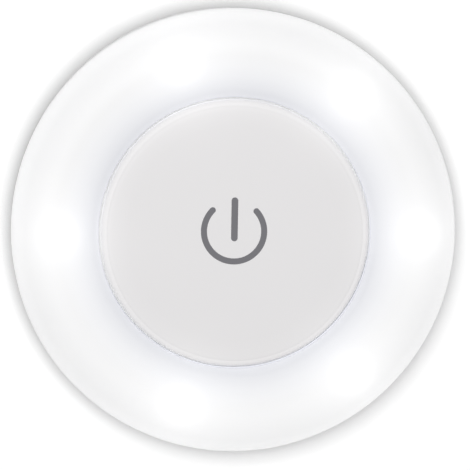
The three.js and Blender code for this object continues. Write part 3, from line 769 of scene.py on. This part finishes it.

# The painted glow in the lens: (radius in mm, level) from ring to ring, then the level, the reach in mm and
# the step inward of the bright spot over each LED and of the wide light round it. The spots' own middle
# lies a little off the light's. Last come the painted glow down the bore's wall, the painted light and
# shade on one side of the ring and the painted cool light towards the button.
lens_rings = [
    (25.8, 0.0),
    (27.0, 0.008),
    (28.0, 0.055),
    (30.0, 0.11),
    (32.0, 0.138),
    (34.0, 0.14),
    (36.0, 0.16),
    (38.0, 0.161),
    (40.0, 0.175),
    (42.0, 0.275),
    (42.5, 0.27),
]
led_spot = (0.22, 3.2, 0)
led_halo = (0.1, 9.0, 1)
glow_middle = (0.9, -0.4)
glow_height = 20.5
bore_wall = lens_bore + 0.02
bore_glow_top, bore_glow_depth, bore_glow = 20.75, 0.9, 0.24
shaded_side, shaded_turn, shaded_gain = 0.45, 33.5, 0.00022
cool_light_start, cool_light_gain, cool_light_green = 34, 0.005, 0.2


def ring_glow(point, radius, stops):
    """A brightness that changes from ring to ring, given as (radius in mm, level) stops."""
    inner, outer = stops[0][0], stops[-1][0]
    greys = [((stop - inner) / (outer - inner), (level, level, level, 1)) for stop, level in stops]
    reach = (radius - inner) * (1 / (outer - inner))
    ramp = point.node("ShaderNodeValToRGB", {"stops": greys}, {"Fac": reach})
    return point.node("ShaderNodeSeparateColor", None, {"Color": ramp})


def led_glow(point, level, reach, inward):
    """The light round each of the LEDs, falling away over that reach in mm, its middle so far inward."""
    x, y, z = (part_of(point, axis) for axis in "XYZ")
    glow = 0
    for degrees in led_degrees:
        away_x = x - glow_middle[0] - (led_radius - inward) * math.cos(math.radians(degrees))
        away_y = y - glow_middle[1] - (led_radius - inward) * math.sin(math.radians(degrees))
        away_z = z - glow_height
        away = away_x * away_x + away_y * away_y + away_z * away_z
        glow = level * away.math("EXPONENT", away * (-1 / reach ** 2)) + glow
    return glow


def lens_material():
    material, point = new_material("milky_lens")
    radius = from_axis(point)
    # Painted glow: the lens emits light in rings and round each LED, standing for the LEDs' light through
    # it.
    glow = ring_glow(point, radius, lens_rings) + led_glow(point, *led_spot) + led_glow(point, *led_halo)
    # Painted light and shade: towards +x and -y the glow is raised outside the crest's radius and lowered
    # inside it.
    shaded = point.math("MAXIMUM", shaded_side * part_of(point, "X") - part_of(point, "Y"), 0)
    glow = point.math("MAXIMUM", glow + shaded * (radius - shaded_turn) * shaded_gain, 0)
    # Painted glow down the bore's wall, growing with depth, that lightens the groove round the button.
    depth = point.math("MINIMUM", bore_glow_top - part_of(point, "Z"), bore_glow_depth)
    glow = glow + point.math("LESS_THAN", radius, bore_wall) * depth * bore_glow
    # Painted cool light: the lens's glow turns bluer towards the button.
    cool_light = point.math("MAXIMUM", cool_light_start - radius, 0) * cool_light_gain
    light = {"Red": glow, "Green": glow + cool_light * cool_light_green, "Blue": glow + cool_light}
    cloud = grain(point, 260, 3)
    fine = grain(point, 3600)
    surface(
        point,
        Base_Color=tinted(point, cloud, (0.808, 0.808, 0.814, 1), (0.822, 0.822, 0.828, 1)),
        Roughness=0.5 + fine * 0.08,
        Specular_IOR_Level=0.3,
        Emission_Color=point.node("ShaderNodeCombineColor", None, light),
        Emission_Strength=1.0,
        Normal=bumped(point, fine, 0.006 * MM),
    )
    return material


lens = start_turned("milky_ring", lens_profile, 256)
finished(lens_material())
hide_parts("ring_lens")
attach(lens, "lamp")


# Push button: the plain satin disc in the middle, slightly crowned, with a rounded rim. Ribs, spring posts
# and three snap hooks are moulded on its underside. It carries a painted glow of the ring's light,
# strongest at its rim, down its skirt and towards the LEDs.
button_radius = 25.492
button_round = 1.1
button_edge, button_top = 22.2, 22.78
skirt_foot = 19.3
button_core = [(0, 14), (24.4, 14), (24.4, 21.3), (0, 21.3)]
button_skin, crown_under = 24.3, 21.0
# Painted glow on the button's rim: (radius in mm, level) of emitted light standing for the ring's light
# through its edge.
painted_rim_glow = [
    (20.5, 0.0),
    (22.0, 0.008),
    (23.3, 0.018),
    (24.2, 0.042),
    (24.9, 0.118),
    (25.25, 0.135),
    (25.5, 0.18),
]
# Painted glow down the button's skirt in the groove: where it starts, how deep it grows and how strong it
# is.
skirt_wall = button_radius - 0.04
skirt_glow_top, skirt_glow_depth, skirt_glow = 21.2, 0.9, 0.18


def button_material():
    material, point = new_material("button_plastic")
    fine = grain(point, 3800, 3)
    slow = grain(point, 30)
    radius = from_axis(point)
    # Painted glow: the rim, the skirt and the parts near the LEDs emit light standing for the ring's light.
    below = point.math("MAXIMUM", skirt_glow_top - part_of(point, "Z"), 0)
    depth = point.math("MINIMUM", below, skirt_glow_depth)
    painted_skirt_glow = point.math("GREATER_THAN", radius, skirt_wall) * depth * skirt_glow
    surface(
        point,
        Base_Color=tinted(point, slow, (0.780, 0.768, 0.774, 1), (0.796, 0.784, 0.790, 1)),
        Roughness=0.46 + fine * 0.1,
        Emission_Color=grey(ring_glow(point, radius, painted_rim_glow) + led_glow(point, *led_halo) + painted_skirt_glow),
        Emission_Strength=1.0,
        Normal=bumped(point, fine, 0.01 * MM),
    )
    return material


button = resurfaced(
    "button_moulding",
    "push_button",
    button_core,
    [
        (0, crown_under),
        (button_skin, crown_under),
        (button_skin, skirt_foot),
        (button_radius, skirt_foot),
        *rounded(button_radius, button_edge, button_round, 0, 16),
        *arc((0, button_edge), button_radius - button_round, button_top - button_edge, 0, 90, 24)[1:],
    ],
    button_material(),
)
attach(button, "button")


# Power symbol: a broken ring and a bar, pad-printed on the button in mid-grey ink. The print follows the
# button when it is pressed.
symbol_middle = (-0.19, 0.45)
symbol_radius = 5.74
symbol_stroke = 1.15
ring_start, ring_end = 134.8, 402.0
bar_width = 1.27
bar_top, bar_foot = (-0.02, 6.95), (-0.14, -1.45)
ink_half = 0.03
ink_height = button_top - 0.015


def ink_material():
    material, point = new_material("symbol_ink")
    fine = grain(point, 3000, 3)
    colour = tinted(point, fine, (0.151, 0.149, 0.163, 1), (0.165, 0.163, 0.177, 1))
    surface(point, Base_Color=colour, Roughness=0.56 + fine * 0.1, Specular_IOR_Level=0.4)
    return material


def printed(name, outlines):
    """A flat print with those outlines in mm, just proud of the button's crown."""
    bpy.ops.object.select_all(action="DESELECT")
    bpy.ops.curve.primitive_bezier_curve_add()
    mark = bpy.context.object
    mark.name = name
    curve = mark.data
    curve.dimensions = "2D"
    curve.fill_mode = "BOTH"
    curve.extrude = ink_half * MM
    curve.splines.clear()
    for outline in outlines:
        line = curve.splines.new("POLY")
        line.points.add(len(outline) - 1)
        for spot, (x, y) in zip(line.points, outline):
            spot.co = (x * MM, y * MM, 0, 1)
        line.use_cyclic_u = True
    bpy.ops.object.convert(target="MESH")
    mark.location = (0, 0, ink_height * MM)
    bpy.ops.object.transform_apply(location=True, rotation=True, scale=True)
    return mark


half = symbol_stroke / 2
first_end, last_end = arc(symbol_middle, symbol_radius, symbol_radius, ring_start, ring_end, 1)
broken_ring = [
    *arc(symbol_middle, symbol_radius + half, symbol_radius + half, ring_start, ring_end, 72),
    *arc(last_end, half, half, ring_end, ring_end + 180, 12)[1:-1],
    *arc(symbol_middle, symbol_radius - half, symbol_radius - half, ring_end, ring_start, 72),
    *arc(first_end, half, half, ring_start + 180, ring_start + 360, 12)[1:-1],
]
half = bar_width / 2
bar = [
    *arc((bar_top[0], bar_top[1] - half), half, half, 0, 180, 12),
    *arc((bar_foot[0], bar_foot[1] + half), half, half, 180, 360, 12),
]
symbol = printed("power_symbol", [broken_ring, bar])
symbol.data.materials.append(ink_material())
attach(symbol, "button")


# Return springs: three small coils of spring wire that stand on the board, round the posts under the
# button. They shorten when it is pressed and lift it again.
return_coil_turns = 2.25
return_coil_radii = (2.0, 2.0)
return_wire_radius = 0.2

low, high = box_of("button_spring_1")
centre = middle_of("button_spring_1")
return_coil_ends = (low.z + return_wire_radius, high.z - return_wire_radius)
return_coil = [
    (centre.x + across, centre.y + up, height)
    for across, up, height in coil(return_coil_turns, return_coil_radii, return_coil_ends)
]
return_spring = wire("return_spring", return_coil, return_wire_radius, spring_steel)
for number, turn in enumerate(cell_turns, 1):
    spring = turned_copy(return_spring, f"return_spring_{number}", turn)
    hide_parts(f"button_spring_{number}")
    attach(spring, "lamp")
    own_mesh(spring)
bpy.data.objects.remove(return_spring)
